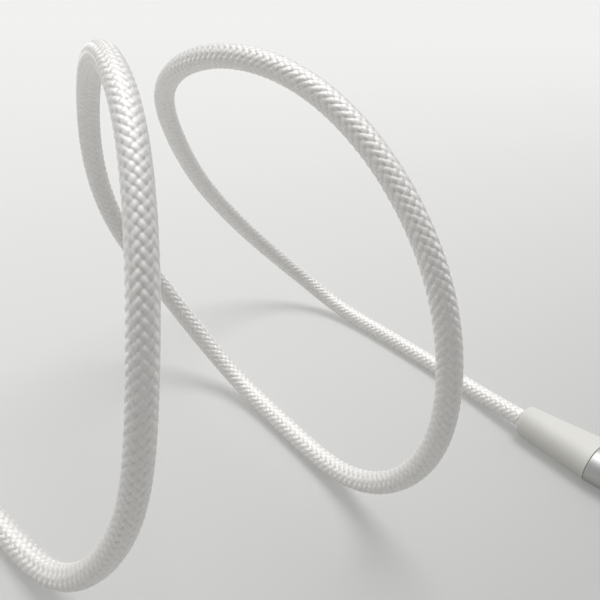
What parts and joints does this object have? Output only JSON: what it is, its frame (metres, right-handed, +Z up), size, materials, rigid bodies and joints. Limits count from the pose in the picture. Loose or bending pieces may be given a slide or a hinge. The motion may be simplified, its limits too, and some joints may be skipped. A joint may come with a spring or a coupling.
{
  "type": "charging cable",
  "caption": "Round braided charging cable lying in two loops, with a reversible device plug and a flat charger plug, each with a metal sleeve and a moulded strain relief.",
  "frame": {"origin": "on the resting surface, under the middle of the device plug", "axes": "+X along the device plug towards its tip, +Z up from the surface, +Y across the plug"},
  "size_m": [0.1347, 0.1592, 0.0718],
  "materials": {
    "braid_white": "woven, satin",
    "relief_white": "satin moulded elastomer",
    "sleeve_aluminium": "satin",
    "plug_steel": "bright nickel plated",
    "spring_steel": "plain",
    "can_steel": "plain",
    "contact_gold": "gold plated",
    "plastic_dark": "moulded",
    "plastic_white": "moulded",
    "mould_natural": "moulded",
    "board_green": "solder mask",
    "resistor_black": "plain",
    "wire_red": "smooth",
    "wire_black": "smooth",
    "wire_white": "smooth",
    "wire_green": "smooth",
    "strap_grey": "woven, matte"
  },
  "bodies": {
    "root": {"cable_run": "braid_white", "cable_coil": "braid_white", "cable_tail": "braid_white", "coil_tie": "strap_grey", "usb_c_shell": "plug_steel", "usb_c_upper_carrier": "plastic_dark", "usb_c_lower_carrier": "plastic_dark", "usb_c_upper_contacts": "contact_gold", "usb_c_lower_contacts": "contact_gold", "usb_c_latch": "spring_steel", "usb_c_ground_springs": "spring_steel", "usb_c_circuit_board": "board_green", "usb_c_resistor": "resistor_black", "usb_c_inner_mould": "mould_natural", "usb_c_shield_can": "can_steel", "usb_c_sleeve": "sleeve_aluminium", "usb_c_strain_relief": "relief_white", "usb_c_cable_end": "braid_white", "usb_c_power_wire": "wire_red", "usb_c_ground_wire": "wire_black", "usb_c_data_minus_wire": "wire_white", "usb_c_data_plus_wire": "wire_green", "usb_a_shell": "plug_steel", "usb_a_insulator": "plastic_white", "usb_a_contacts": "contact_gold", "usb_a_inner_mould": "mould_natural", "usb_a_shield_can": "can_steel", "usb_a_sleeve": "sleeve_aluminium", "usb_a_strain_relief": "relief_white", "usb_a_cable_end": "braid_white", "usb_a_power_wire": "wire_red", "usb_a_ground_wire": "wire_black", "usb_a_data_minus_wire": "wire_white", "usb_a_data_plus_wire": "wire_green"}
  },
  "joints": []
}
